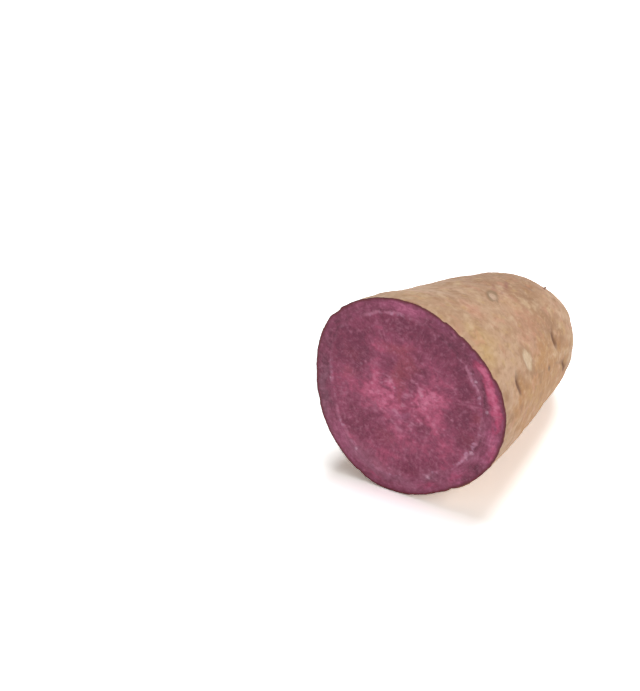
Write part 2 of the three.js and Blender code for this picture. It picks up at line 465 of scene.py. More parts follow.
def local(points, along, around, turn=0.0):
    """Each point's distance around and along the skin from a place on it, turned by some degrees."""
    here, across, ahead, out = surface_spot(along, around)
    a, b, c = (points - here) @ across, (points - here) @ ahead, (points - here) @ out
    on_skin = np.abs(c) < SKIN_REACH
    a, b = turn_axes(a, b, turn)
    return np.where(on_skin, a, FAR), np.where(on_skin, b, FAR)


def bell(x):
    return np.exp(-(x**2))


def noise_at(points, size, seed, stretch=(1, 1, 1), octaves=3):
    """Smooth noise from about -1 to 1 with lumps of a size in mm, drawn out by the stretch."""
    shift = Vector((seed * 17.3, seed * 9.1, seed * 5.7))
    scaled = points / (size * np.array(stretch, float))
    found = (noise.fractal(Vector(p) + shift, 1.0, 2.0, octaves) for p in scaled)
    return np.fromiter(found, float, len(scaled))


def skin_swell(p):
    """The skin's own relief: slow swellings, lumps and fine wrinkles across the root, in mm."""
    swell = 0.32 * noise_at(p, 15, 1) + 0.20 * noise_at(p, 6, 2) + 0.09 * noise_at(p, 2.8, 8)
    wrinkle = noise_at(p, 2.2, 3, (2.0, 1, 2.0), 2)
    patch = np.clip(noise_at(p, 13, 4) + 0.25, 0, 1)
    return swell + 0.05 * patch * wrinkle + 0.03 * noise_at(p, 1.3, 5)


def eye_shape(p, along, around, wide, long, depth, lip, turn):
    """An eye's height and its crescent of painted shadow at each point."""
    a, b = local(p, along, around, turn)
    bowed = b - 0.45 * long * (a / wide) ** 2
    wall = (1 + np.tanh((bowed - 0.4) / 1.0)) / 2
    dent = depth * wall * bell(a / wide) * bell(bowed / (1.8 * long))
    raised = lip * bell(a / (1.1 * wide)) * bell((bowed + 0.9 * long) / (0.9 * long))
    start = (1 + np.tanh((bowed + 0.1) / 0.3)) / 2
    fade = bell(np.maximum(bowed - 1.0, 0) / (0.8 * long))
    shadow_crescent = 1.2 * bell(a / (0.95 * wide)) * start * fade
    return raised - dent, shadow_crescent * min(depth, 1)


def scar_shape(p, along, around, wide, long, turn, rim):
    """A scar's height, and each point's place on it in units of its half sizes."""
    a, b = local(p, along, around, turn)
    a, b = a / wide, b / long
    reach = np.hypot(a, b)
    return rim * bell((reach - 1) / 0.25) - 0.6 * rim * bell(reach / 0.8), a, b, reach


def stain(p, marks):
    """The sum of soft round or oval stains on the skin."""
    total = np.zeros(len(p))
    for along, around, *size, strength in marks:
        wide, long, turn = size if len(size) == 3 else (size[0], size[0], 0)
        a, b = local(p, along, around, turn)
        total += strength * bell(np.hypot(a / wide, b / long))
    return total


def crease(p, half, places):
    """How near each point is to a line of places on the skin: 1 on it and 0 well away."""
    stops = [surface_spot(*place)[0] for place in places]
    gap = np.full(len(p), FAR)
    for start, end in zip(stops, stops[1:]):
        way = end - start
        share = np.clip((p - start) @ way / (way @ way), 0, 1)
        gap = np.minimum(gap, np.linalg.norm(p - start - share[:, None] * way, axis=1))
    return bell(gap / half)


def rim_wave(mesh, smooth):
    """How unevenly the knife left the skin's edge, in mm outwards, nicks included."""
    edge = smooth[mesh.rim]
    wave = 0.20 * noise_at(edge, 4.0, 6) + 0.12 * noise_at(edge, 1.6, 7)
    around = np.degrees(mesh.turns)
    for where, half, depth in NICKS:
        away = (around - where + 180) % 360 - 180
        step = np.where(away > 0, bell(away / (2.4 * half)), bell(away / (0.5 * half)))
        wave -= depth * step
    return wave


def skin_relief(p):
    """The skin's height at each point, and the masks of its marks and stains."""
    height = skin_swell(p)
    eye, ring, dot, crease_shade = np.zeros((4, len(p)))
    scar = np.tile(NO_SCAR, (len(p), 1))
    for mark in EYES:
        raised, shadow_crescent = eye_shape(p, *mark)
        height += raised
        eye = np.maximum(eye, shadow_crescent)
    for *shape, tone, line in SCARS:
        raised, a, b, reach = scar_shape(p, *shape)
        height += raised
        near = reach < SCAR_REACH
        scar[near] = np.stack([a, b, np.full(len(a), tone)], 1)[near]
        ring[near] = line
    for along, around, radius in DOTS:
        a, b = local(p, along, around)
        shape = bell(np.hypot(a, b) / radius)
        height -= DOT_DEPTH * shape
        dot = np.maximum(dot, shape)
    for half, depth, strength, places in CREASES:
        shape = crease(p, half, places)
        height -= depth * shape
        crease_shade = np.maximum(crease_shade, strength * shape)
    masks = {"scar": scar, "eye": eye, "dot": dot, "ring_line": ring, "crease": crease_shade}
    stains = {"blush": BLUSH, "straw": STRAW, "earth_and_shade": EARTH_AND_SHADE, "ochre": OCHRE, "mauve": MAUVES}
    for name, marks in stains.items():
        masks[name] = stain(p, marks)
    return height, masks


def shape_rim(mesh, smooth, shaped, out):
    """Makes the cut's edge uneven, and the first rings of skin behind it less and less so."""
    wave = rim_wave(mesh, smooth)
    flat_out = out[mesh.rings[3]] * [1, 0, 1]  # out of the skin, in the plane of the cut
    shaped[mesh.rim] = smooth[mesh.rim] + flat_out * wave[:, None]
    for ring_number, share in ((1, 0.85), (2, 0.6), (3, 0.35)):
        shaped[mesh.rings[ring_number]] += flat_out * wave[:, None] * share
    shaped[mesh.rim, 1] = CUT_Y


def blank(name, count):
    """A mask's values where it marks nothing."""
    return np.tile(NO_SCAR, (count, 1)) if name == "scar" else np.zeros(count)


def sculpt(mesh, smooth):
    """The detailed surface, and the masks that the skin's material reads."""
    skin = np.ones(mesh.count, bool)
    skin[mesh.cut_ids.ravel()] = False
    skin[mesh.rim] = True
    relief, found = skin_relief(smooth[skin])
    height = np.zeros(mesh.count)
    height[skin] = relief
    height[mesh.rim] = 0
    out = mesh.normals(smooth)
    shaped = smooth + out * height[:, None]
    shape_rim(mesh, smooth, shaped, out)
    shaped[:, 2] = np.maximum(shaped[:, 2], 0)
    fill_cut(mesh, shaped)

    masks = {name: blank(name, mesh.count) for name in found}
    for name, values in found.items():
        masks[name][skin] = values
    masks["hollow"] = hollows(mesh, shaped)
    return shaped, masks


def hollows(mesh, points):
    """How far each vertex lies below the surface around it, in mm, above 0 in a hollow."""
    even = points
    rounds = 40
    for _ in range(rounds):
        even = (even + mesh.neighbour_mean(even)) / 2
    depth = ((even - points) * mesh.normals(even)).sum(1)
    depth[mesh.cut_ids] = 0
    edge_rings = 8  # the knife's edge is no hollow
    depth[mesh.rings[:edge_rings]] = 0
    return depth


def flesh_stain(x, z, marks):
    """The sum of soft oval stains on the cut."""
    total = np.zeros(len(x))
    for cx, cz, wide, high, turn, strength in marks:
        a, b = turn_axes(x - cx, z - cz, turn)
        total += strength * bell(np.hypot(a / wide, b / high))
    return total


def hairlines(x, z):
    """Thin pale lines on the cut."""
    total = np.zeros(len(x))
    for x0, z0, x1, z1, half, strength in HAIRLINES:
        length = math.hypot(x1 - x0, z1 - z0)
        ux, uz = (x1 - x0) / length, (z1 - z0) / length
        along = (x - x0) * ux + (z - z0) * uz
        off = (z - z0) * ux - (x - x0) * uz
        fade = 1.5  # mm over which each end fades
        ends = np.clip(np.minimum(along, length - along) / fade + 0.5, 0, 1)
        total = np.maximum(total, strength * bell(off / half) * ends)
    return total


def ring_stretches(around):
    """How strong the ring of vessels is at each angle in degrees."""
    total = np.zeros(len(around))
    for first, last, strength in RING_STRETCHES:
        away = (around - (first + last) / 2 + 180) % 360 - 180
        inside = (last - first) / 2 - np.abs(away)
        fade = 6  # degrees over which each end fades
        total = np.maximum(total, strength * np.clip(inside / fade + 0.5, 0, 1))
    return total


def flesh_masks(mesh, points, masks):
    """Where each vertex is on the cut, and its stains."""
    cut = mesh.cut_ids.ravel()
    p = points[cut]
    middle = core_point(CUT_Y)
    offset = p[:, [0, 2]] - middle[[0, 2]]
    rim = points[mesh.rim][:, [0, 2]] - middle[[0, 2]]
    inset = (1 - mesh.reach.ravel()) * mesh.round_rim(np.hypot(*rim.T))
    around = np.arctan2(offset[:, 1], offset[:, 0])
    # The ring of vessels lies 5 to 8 mm in from the rim, and deepest on the +X side.
    ring_depth = 6.4 + 1.2 * np.cos(around) - 0.6 * np.sin(around)
    ring_depth += 0.7 * np.cos(2 * around - math.radians(30))

    warp = [1.6 * noise_at(p, 8, 11 + k) + 1.1 * noise_at(p, 2.8, 13 + k) for k in range(2)]
    x, z = p[:, 0] + warp[0], p[:, 2] + warp[1]
    found = {"inset": inset, "ring_gap": inset - ring_depth}
    found["ring"] = ring_stretches(np.degrees(around))
    found["hairline"] = hairlines(p[:, 0] + 0.2 * warp[1], p[:, 2] + 0.2 * warp[0])
    stains = {"pink": PINK, "dark": DARK, "crimson": CRIMSON, "red_brown": RED_BROWN}
    stains |= {"violet": VIOLET, "lilac": LILACS, "ash": ASH}
    for name, marks in stains.items():
        found[name] = flesh_stain(x, z, marks)
    round_specks = [(cx, cz, r, r, 0, strength) for cx, cz, r, strength in SPECKS]
    found["speck"] = flesh_stain(p[:, 0], p[:, 2], round_specks)
    for name, values in found.items():
        masks[name] = blank(name, mesh.count)
        masks[name][cut] = values


# ---- Materials ----


def colour(text):
    """A linear colour from six hexadecimal digits of sRGB."""
    parts = [int(text[i : i + 2], 16) / 255 for i in (0, 2, 4)]
    linear = [c / 12.92 if c <= 0.04045 else ((c + 0.055) / 1.055) ** 2.4 for c in parts]
    return (*linear, 1.0)


SKIN_TAN = colour("b79173")
SKIN_LIGHT = colour("c5a083")
SKIN_PALE = colour("d6b897")
SKIN_PINK = colour("c9937a")
SKIN_STRAW = colour("c8a570")
SKIN_OCHRE = colour("b88756")
SKIN_BROWN = colour("9c7352")
SKIN_DARK = colour("87603f")
CORK_PALE = colour("ddc7a9")
CORK = colour("cdb190")
MAUVE = colour("b5887a")
MAUVE_DARK = colour("9d7064")
RING_BROWN = colour("7f6b50")
EYE_SHADOW_BROWN = colour("7e5a42")
EYE_DARK = colour("653e2a")
DOT_BROWN = colour("60453a")
MAUVE_STREAK = colour("9a6656")
FLESH_SHADES = [colour(text) for text in "76304a 823751 91435f a54b69 be5a7a d67696".split()]
BARK_SHADES = [colour(text) for text in "662a40 7a364e 8e445f a45272 bc6686".split()]
FLESH_DEEP = colour("581830")
FLESH_PALE = colour("cf86a0")
FLESH_GLOW = colour("d88ea8")
RUST = colour("9a4552")
VIOLET_PAINT = colour("8e4c70")
LILAC = colour("a8607f")
CRIMSON_PAINT = colour("c0426a")
CRIMSON_PALE = colour("e07a9c")
ASH_ROSE = colour("9a6478")
SAP = colour("c48eaa")
SAP_WHITE = colour("e0b0c6")
RIM_MAROON = colour("6e2632")
RIM_BROWN = colour("4c1c20")

ALONG_ROOT = (1.0, 0.6, 1.0)  # factors that draw noise out along the root


class Paint:
    """Short calls that add nodes to one material, or to the world."""

    def __init__(self, owner):
        self.owner = owner
        self.base = None  # the colour painted so far
        owner.use_nodes = True
        self.tree = owner.node_tree
        self.tree.nodes.clear()

    def node(self, kind, inputs=None, **settings):
        """Adds a node, with a link or a value for each input."""
        made = self.tree.nodes.new(kind)
        for key, value in settings.items():
            setattr(made, key, value)
        for key, value in (inputs or {}).items():
            if isinstance(value, bpy.types.NodeSocket):
                self.tree.links.new(value, made.inputs[key])
            else:
                made.inputs[key].default_value = value
        return made

    def math(self, operation, a, b=0.0, c=0.0):
        return self.node("ShaderNodeMath", {0: a, 1: b, 2: c}, operation=operation).outputs[0]

    def place(self):
        """The point's X, Y and Z in millimetres."""
        inputs = {0: self.node("ShaderNodeTexCoord").outputs["Object"], "Scale": 1 / MM}
        return self.node("ShaderNodeVectorMath", inputs, operation="SCALE").outputs[0]

    def times(self, vector, factors):
        inputs = {0: vector, 1: factors}
        return self.node("ShaderNodeVectorMath", inputs, operation="MULTIPLY").outputs[0]

    def apart(self, vector):
        return self.node("ShaderNodeSeparateXYZ", {0: vector}).outputs

    def joined(self, x, y, z):
        return self.node("ShaderNodeCombineXYZ", {0: x, 1: y, 2: z}).outputs[0]

    def mask(self, name, output="Fac"):
        return self.node("ShaderNodeAttribute", attribute_name=name).outputs[output]

    def noise(self, vector, size, detail=2.0, roughness=0.5, seed=0.0, distortion=0.0):
        """Noise from 0 to 1 with lumps of a size in mm."""
        inputs = {"Vector": vector, "W": seed, "Scale": 1 / size, "Detail": detail}
        inputs |= {"Roughness": roughness, "Distortion": distortion}
        return self.node("ShaderNodeTexNoise", inputs, noise_dimensions="4D").outputs["Fac"]

    def cells(self, vector, size, output="Distance"):
        """Random cells of a size in mm."""
        inputs = {"Vector": vector, "Scale": 1 / size}
        return self.node("ShaderNodeTexVoronoi", inputs).outputs[output]

    def added(self, a, b):
        return self.math("ADD", a, b)

    def product(self, first, *others):
        for value in others:
            first = self.math("MULTIPLY", first, value)
        return first

    def waver(self, value, spread):
        """Noise from 0 to 1, moved and spread to run this far from end to end about 0."""
        return self.math("MULTIPLY_ADD", value, spread, -spread / 2)

    def total(self, start, *parts):
        """The start and each value times its weight, added up."""
        found = start
        for value, weight in parts:
            found = self.math("MULTIPLY_ADD", value, weight, found)
        return found

    def shades(self, value, paints, step):
        """Goes through a row of colours, one for each step of the value."""
        base = paints[0]
        for i, paint in enumerate(paints[1:]):
            base = self.mix(self.ramp(value, i * step, (i + 1) * step), base, paint)
        return base

    def ramp(self, value, low, high, to_low=0.0, to_high=1.0):
        """Goes smoothly from to_low at low to to_high at high."""
        inputs = {0: value, 1: low, 2: high, 3: to_low, 4: to_high}
        found = self.node("ShaderNodeMapRange", inputs, interpolation_type="SMOOTHSTEP", clamp=True)
        return found.outputs[0]

    def band(self, value, middle, half, soft):
        """1 within half of middle, and 0 from half + soft on."""
        away = self.math("ABSOLUTE", self.math("SUBTRACT", value, middle))
        return self.ramp(away, half, half + soft, 1.0, 0.0)

    def worn(self, mask, clouds, low=0.2, high=0.9, wear=0.8):
        """A soft mask with its edge broken up by clouds of noise."""
        return self.ramp(self.added(mask, self.waver(clouds, wear)), low, high)

    def lay(self, paint, factor, most=1.0):
        """Lays a colour over the base, at most this strongly."""
        if most < 1:
            factor = self.product(factor, most)
        self.base = self.mix(factor, self.base, paint)

    def mix(self, factor, a, b):
        inputs = {0: factor, 6: a, 7: b}
        return self.node("ShaderNodeMix", inputs, data_type="RGBA", clamp_factor=True).outputs[2]

    def end(self, shader, kind="ShaderNodeOutputMaterial"):
        self.node(kind, {"Surface": shader})
        return self.owner

    def finish(self, bump_height, bump_distance, **principled):
        """Ends the material in one Principled shader with a bump in mm."""
        inputs = {"Height": bump_height, "Distance": bump_distance * MM}
        bump = self.node("ShaderNodeBump", inputs).outputs[0]
        inputs = {key.replace("_", " "): value for key, value in principled.items()}
        inputs |= {"Base Color": self.base, "Normal": bump}
        return self.end(self.node("ShaderNodeBsdfPrincipled", inputs).outputs[0])


def skin_ground(m, place):
    """Tan with slow clouds, pink, straw, brown and ochre stains and cloudy mottling; the brown at the
    eyes is painted shade of their dents.
    """
    m.base = m.mix(m.ramp(m.noise(place, 12, 3, seed=1), 0.38, 0.62), SKIN_TAN, SKIN_LIGHT)
    clouds = m.noise(place, 3.4, 4, 0.6, seed=2)
    m.lay(SKIN_PINK, m.worn(m.mask("blush"), clouds), 0.75)
    clouds = m.noise(place, 3, 4, 0.6, seed=3)
    m.lay(SKIN_STRAW, m.worn(m.mask("straw"), clouds), 0.7)
    # brown stains, some of them painted shade at the eyes
    clouds = m.noise(place, 4, 3, seed=4)
    m.lay(SKIN_BROWN, m.worn(m.mask("earth_and_shade"), clouds, 0.1, 1.5, 0.6), 0.75)
    clouds = m.noise(place, 5, 3, seed=18)
    m.lay(SKIN_OCHRE, m.worn(m.mask("ochre"), clouds), 0.8)
    m.lay(SKIN_PINK, m.ramp(m.noise(place, 4.2, 3, seed=5), 0.52, 0.70), 0.5)
    m.lay(SKIN_STRAW, m.ramp(m.noise(place, 3.6, 3, seed=6), 0.53, 0.72), 0.5)


def skin_grain(m, place, streaks):
    """Soft mottling at several scales and a few flecks, all drawn out along the root."""
    place = m.times(place, ALONG_ROOT)
    blotch = m.noise(place, 3.2, seed=17)
    m.lay(SKIN_BROWN, m.ramp(blotch, 0.48, 0.28), 0.6)
    m.lay(SKIN_PALE, m.ramp(blotch, 0.52, 0.72), 0.5)
    mottle = m.noise(place, 1.7, 2.5, seed=7, distortion=0.4)
    m.lay(SKIN_BROWN, m.ramp(mottle, 0.50, 0.28), 0.4)
    m.lay(SKIN_PALE, m.ramp(mottle, 0.52, 0.74), 0.4)
    m.lay(SKIN_BROWN, m.ramp(streaks, 0.54, 0.80), 0.25)
    speckle = m.noise(place, 1.4, seed=19)
    m.lay(SKIN_BROWN, m.ramp(speckle, 0.52, 0.78), 0.25)
    m.lay(SKIN_PALE, m.ramp(speckle, 0.46, 0.22), 0.2)
    fleck = m.noise(place, 0.7, 2, 0.6, seed=8)
    m.lay(SKIN_DARK, m.ramp(fleck, 0.62, 0.78), 0.22)
    m.lay(SKIN_PALE, m.ramp(fleck, 0.40, 0.25), 0.22)


def scar_ring(m, place):
    """How far each point is from a scar's middle, in units of its half sizes, and its tone."""
    a, b, tone = m.apart(m.mask("scar", "Vector"))
    squares = m.added(m.product(a, a), m.product(b, b))
    wobble = m.waver(m.noise(place, 1.8, seed=9), 0.6)
    return m.added(m.math("SQRT", squares), wobble), tone


def skin_scars(m, place):
    """Pale or dull discs, each with a darker ring round it, and mauve streaks."""
    reach, tone = scar_ring(m, place)
    patchy = m.ramp(m.noise(place, 1.2, 3, seed=10), 0.35, 0.65)
    pale = m.mix(patchy, CORK_PALE, CORK)
    dull = m.mix(patchy, MAUVE, MAUVE_DARK)
    m.lay(m.mix(tone, dull, pale), m.ramp(reach, 1.08, 0.78), 0.8)
    streak = m.worn(m.mask("mauve"), m.noise(place, 1.6, 3, 0.6, seed=44), 0.15, 0.9, 1.0)
    m.lay(MAUVE_STREAK, streak, 0.75)
    broken = m.ramp(m.noise(place, 2.4, seed=11), 0.30, 0.55)
    line = m.product(m.band(reach, 1.0, 0.08, 0.36), m.mask("ring_line"), broken)
    halo = m.product(m.band(reach, 1.2, 0.1, 0.5), broken)
    m.lay(SKIN_BROWN, halo, 0.5)
    m.lay(m.mix(m.ramp(tone, 0.1, 0.4), MAUVE_STREAK, RING_BROWN), line, 0.7)


def skin_shade_and_dots(m, place):
    """Painted shade in the hollows, eyes and creases, and the dark dots of broken hair roots."""
    # painted shade, deepest in the hollows
    m.lay(SKIN_BROWN, m.ramp(m.mask("hollow"), 0.04, 0.34), 0.4)
    broken = m.ramp(m.noise(place, 1.2, 3, seed=12), 0.2, 0.55)
    # painted shadow in each eye, on its steep wall and just behind it
    m.lay(EYE_SHADOW_BROWN, m.product(m.ramp(m.mask("eye"), 0.0, 1.1), broken), 0.7)
    # painted shade along the creases, mostly in the eyes and dents
    m.lay(EYE_DARK, m.ramp(m.mask("crease"), 0.0, 1.0), 0.75)
    m.lay(DOT_BROWN, m.ramp(m.mask("dot"), 0.2, 1.0), 0.75)


def skin_material():
    """Thin tan skin, mottled and finely grained, with painted shade in its hollows, eyes and creases,
    and stained at the cut.
    """
    m = Paint(bpy.data.materials.new("sweet_potato_skin"))
    place = m.place()
    streaks = m.noise(m.times(place, ALONG_ROOT), 1.1, seed=13)
    skin_ground(m, place)
    skin_grain(m, place, streaks)
    skin_scars(m, place)
    skin_shade_and_dots(m, place)
    from_cut = m.math("SUBTRACT", m.apart(place)[1], CUT_Y)
    uneven = m.waver(m.noise(place, 1.3, seed=14), 0.5)
    m.lay(RIM_MAROON, m.ramp(m.added(from_cut, uneven), 0.25, 0.0), 0.7)

    pits = m.ramp(m.cells(place, 1.1), 0.0, 0.35)
    grain = m.noise(place, 0.5, 3, 0.65, seed=15)
    bump = m.total(0.0, (streaks, 0.8), (grain, 0.5), (pits, 0.15))
    rough = m.ramp(m.noise(place, 2.2, 3, seed=16), 0.3, 0.7, 0.70, 0.58)
    return m.finish(bump, 0.15, Roughness=rough, Specular_IOR_Level=0.3)


class Flesh(Paint):
    """The flesh's paint, with the place on the cut and the way out from its middle."""

    def __init__(self):
        super().__init__(bpy.data.materials.new("sweet_potato_flesh"))
        self.at = self.place()
        x, _, z = self.apart(self.at)[:3]
        dx = self.math("SUBTRACT", x, CORE_AT_CUT[0])
        dz = self.math("SUBTRACT", z, CORE_AT_CUT[1])
        squares = self.added(self.product(dx, dx), self.product(dz, dz))
        self.radius = self.math("MAXIMUM", self.math("SQRT", squares), 0.5)
        self.ux, self.uz = (self.math("DIVIDE", d, self.radius) for d in (dx, dz))
        wander = self.waver(self.noise(self.at, 7, seed=20), 2.6)
        jitter = self.waver(self.noise(self.at, 1.5, seed=21), 1.4)
        self.gap = self.added(self.mask("ring_gap"), self.added(wander, jitter))

    def turned(self, lumps, depth):
        """A place by the way out from the middle, with this many lumps to a radian, and a depth."""
        return self.joined(self.product(self.ux, lumps), depth, self.product(self.uz, lumps))

    def rays(self, lumps, length, seed):
        """Noise drawn out from the middle, with lumps of this length in mm."""
        vector = self.turned(lumps, self.product(self.radius, 1 / length))
        return self.noise(vector, 1.0, 2.0, 0.55, seed)

    def rounds(self, lumps, thick, seed):
        """Noise drawn out round the rim, with lumps this thick in mm."""
        vector = self.turned(lumps, self.product(self.mask("inset"), 1 / thick))
        return self.noise(vector, 1.0, 3.0, 0.6, seed)


def flesh_tone(m):
    """How light the flesh is: near 0 in the dark patches, and 1 in the bright arms of the star."""
    slow = m.noise(m.at, 7, 3, seed=22)
    coarse = m.noise(m.at, 3.4, 3, 0.55, seed=24, distortion=0.5)
    curd = m.noise(m.at, 1.8, seed=23, distortion=0.4)
    pink = m.ramp(m.total(0.0, (m.mask("pink"), 1.0), (coarse, 0.5)), 0.15, 1.6)
    dark = m.ramp(m.total(0.0, (m.mask("dark"), 1.0), (coarse, -0.5)), -0.35, 0.85)
    start = 0.48 - 0.5 * (0.4 + 0.8 + 0.9)  # where noise is a half, its mean, this gives 0.48
    return m.total(start, (slow, 0.4), (coarse, 0.8), (curd, 0.9), (pink, 0.66), (dark, -0.46))


def flesh_ground(m):
    """Plum in shades from the dark patches to the star, stained rust, lilac and ash; the ash low on
    the cut is partly painted light.
    """
    m.base = m.shades(flesh_tone(m), FLESH_SHADES, 0.25)
    cloud = m.noise(m.at, 2.4, 3, 0.6, seed=42, distortion=0.5)
    m.lay(RUST, m.worn(m.mask("red_brown"), cloud, 0.1, 1.1, 0.7), 0.6)
    m.lay(LILAC, m.worn(m.mask("lilac"), cloud, 0.1, 1.1, 0.7), 0.6)
    # ash rose; low on the cut it is partly painted light that makes the bottom lighter
    m.lay(ASH_ROSE, m.worn(m.mask("ash"), cloud, 0.1, 1.2, 0.7), 0.55)


def flesh_bark(m):
    """The band between the ring and the skin, drawn out round the rim, with its stains."""
    bark = m.ramp(m.gap, 0.7, -0.7)
    cloud = m.noise(m.at, 2.6, 3, 0.6, seed=45, distortion=0.4)
    streak = m.rounds(9, 0.8, 26)
    start = 0.42 - 0.5 * (1.1 + 0.9)
    marks = ((m.mask("pink"), 0.38), (m.mask("dark"), -0.34))
    tone = m.total(start, (streak, 1.1), (cloud, 0.9), *marks)
    m.lay(m.shades(tone, BARK_SHADES, 0.25), bark)
    m.lay(VIOLET_PAINT, m.worn(m.mask("violet"), cloud, 0.3, 1.2, 1.2), 0.6)
    # ash rose in the band, low on the cut partly painted light
    m.lay(ASH_ROSE, m.product(m.worn(m.mask("ash"), cloud, 0.1, 1.2, 0.9), bark), 0.6)
    streak = m.worn(m.mask("crimson"), m.rounds(12, 1.0, 27), 0.1, 0.9, 1.2)
    m.lay(CRIMSON_PAINT, streak, 0.8)
    cloud = m.noise(m.at, 2.0, seed=28, distortion=0.4)
    m.lay(CRIMSON_PALE, m.worn(m.mask("crimson"), cloud, 0.4, 1.3, 1.8), 0.75)


def flesh_rays(m):
    """Faint rays between the middle and the ring."""
    zone = m.product(m.ramp(m.radius, 8, 16), m.ramp(m.gap, 0.0, 2.0))
    m.lay(FLESH_DEEP, m.product(m.ramp(m.rays(22, 8, 29), 0.52, 0.72), zone), 0.17)
    fine = m.product(m.ramp(m.rays(34, 5, 30), 0.54, 0.74), zone)
    m.lay(FLESH_PALE, fine, 0.18)


def flesh_ring(m):
    """The broken ring of vessels: a soft pale line, dots along it and bright specks."""
    broken = m.ramp(m.noise(m.at, 3.0, seed=31), 0.36, 0.58)
    line = m.product(m.band(m.gap, 0.0, 0.12, 0.7), m.mask("ring"), broken)
    m.lay(FLESH_PALE, line, 0.5)
    ring_radius = 26.0
    place = m.turned(ring_radius, m.product(m.gap, 0.7))
    dots = m.product(m.ramp(m.cells(place, 1.3), 0.62, 0.15), m.band(m.gap, 0.1, 0.3, 0.8))
    uneven = m.ramp(m.noise(m.at, 1.8, 1, seed=43), 0.36, 0.62)
    m.lay(SAP, m.product(dots, m.mask("ring"), uneven), 0.85)
    speck = m.worn(m.mask("speck"), m.noise(m.at, 1.0, seed=33), 0.3, 1.1, 1.0)
    m.lay(SAP_WHITE, speck, 0.7)


def flesh_curds(m, curd):
    """Soft curds all over, their light and dark flecks partly painted sheen of the moist cut, pale
    and dark dashes in the middle, hairlines and a few pale spots.
    """
    # light and dark flecks of the curds, partly painted sheen of the moist cut
    m.lay(FLESH_DEEP, m.ramp(curd, 0.50, 0.26), 0.35)
    m.lay(FLESH_PALE, m.ramp(curd, 0.50, 0.76), 0.3)
    middle = m.ramp(m.radius, 19, 7)
    patch = m.ramp(m.noise(m.at, 4.5, seed=35), 0.38, 0.56)
    dash = m.noise(m.times(m.at, (0.65, 1.0, 1.0)), 1.7, 1.0, seed=34, distortion=0.3)
    m.lay(FLESH_GLOW, m.product(m.ramp(dash, 0.50, 0.72), middle, patch), 0.5)
    m.lay(FLESH_DEEP, m.product(m.ramp(dash, 0.48, 0.28), middle), 0.38)
    hair = m.worn(m.mask("hairline"), m.noise(m.at, 1.0, seed=38), 0.2, 0.8)
    m.lay(FLESH_GLOW, hair, 0.25)
    spot = m.ramp(m.cells(m.at, 2.6), 0.32, 0.08)
    chosen = m.ramp(m.apart(m.cells(m.at, 2.6, output="Color"))[0], 0.86, 0.90)
    spots = m.product(spot, chosen, m.ramp(m.radius, 26, 8, 0.4, 1.0))
    m.lay(FLESH_GLOW, spots, 0.45)


def flesh_rim(m):
    """The thin dark line of skin round the cut, and the darker flesh beside it."""
    edge = m.added(m.mask("inset"), m.waver(m.rounds(14, 3.0, 39), 1.0))
    m.lay(BARK_SHADES[0], m.ramp(edge, 1.5, 0.6), 0.45)
    m.lay(RIM_MAROON, m.ramp(edge, 0.95, 0.45), 0.85)
    m.lay(RIM_BROWN, m.ramp(edge, 0.45, 0.10), 0.8)


def knife_marks(m):
    """Fine straight grooves across the cut."""
    slope = math.radians(12)
    x, _, z = m.apart(m.at)[:3]
    across = m.added(m.product(z, math.cos(slope)), m.product(x, math.sin(slope)))
    return m.noise(m.joined(m.product(x, 0.03), 0.0, across), 0.8, 3, 0.6, seed=41)


def flesh_material():
    """Moist purple flesh: a rosy star in plum, a broken pale ring near the skin and soft curds."""
    m = Flesh()
    curd = m.noise(m.at, 1.5, seed=36, distortion=0.4)
    grain = m.noise(m.at, 0.75, 2, 0.6, seed=40)
    flesh_ground(m)
    flesh_bark(m)
    flesh_rays(m)
    flesh_curds(m, curd)
    flesh_ring(m)
    # light and dark grain, partly painted sheen of the moist cut
    m.lay(FLESH_DEEP, m.ramp(grain, 0.52, 0.78), 0.22)
    m.lay(FLESH_PALE, m.ramp(grain, 0.48, 0.22), 0.2)
    flesh_rim(m)

    bump = m.total(0.0, (grain, 0.7), (knife_marks(m), 0.4), (curd, 0.8))
    rough = m.ramp(grain, 0.3, 0.7, 0.38, 0.54)
    return m.finish(bump, 0.12, Roughness=rough, Specular_IOR_Level=0.25)


# ---- Piece ----


def write_masks(data, masks):
    for name, values in masks.items():
        kind, key = ("FLOAT_VECTOR", "vector") if values.ndim > 1 else ("FLOAT", "value")
        layer = data.attributes.new(name, kind, "POINT")
        layer.data.foreach_set(key, values.astype(np.float32).ravel())


def root_end(bottom, out, ahead, length, radius, lean):
    """A short tapering root stub as vertices and faces, its foot sunk in the skin."""
    sides, levels = 8, 4
    sunk = 0.5  # mm
    way = out + ahead * lean
    way = way / np.linalg.norm(way)
    side = np.cross(way, ahead)
    side = side / np.linalg.norm(side)
    other = np.cross(way, side)
    turns = np.arange(sides) * 2 * math.pi / sides
    points = []
    for level in range(levels):
        share = level / (levels - 1)
        size = radius * (1.5 - 0.9 * share if level else 1.9)
        middle = bottom - out * sunk + way * (length + sunk) * share
        for turn in turns:
            uneven = size * (1 + 0.12 * math.sin(3 * turn + 2 * level))
            points.append(middle + (side * math.cos(turn) + other * math.sin(turn)) * uneven)
    faces = []
    for level in range(levels - 1):
        for k in range(sides):
            near, far = level * sides, (level + 1) * sides
            faces.append((near + k, near + (k + 1) % sides, far + (k + 1) % sides, far + k))
    faces.append(tuple(range(sides))[::-1])
    faces.append(tuple(range((levels - 1) * sides, levels * sides)))
    return np.array(points), faces


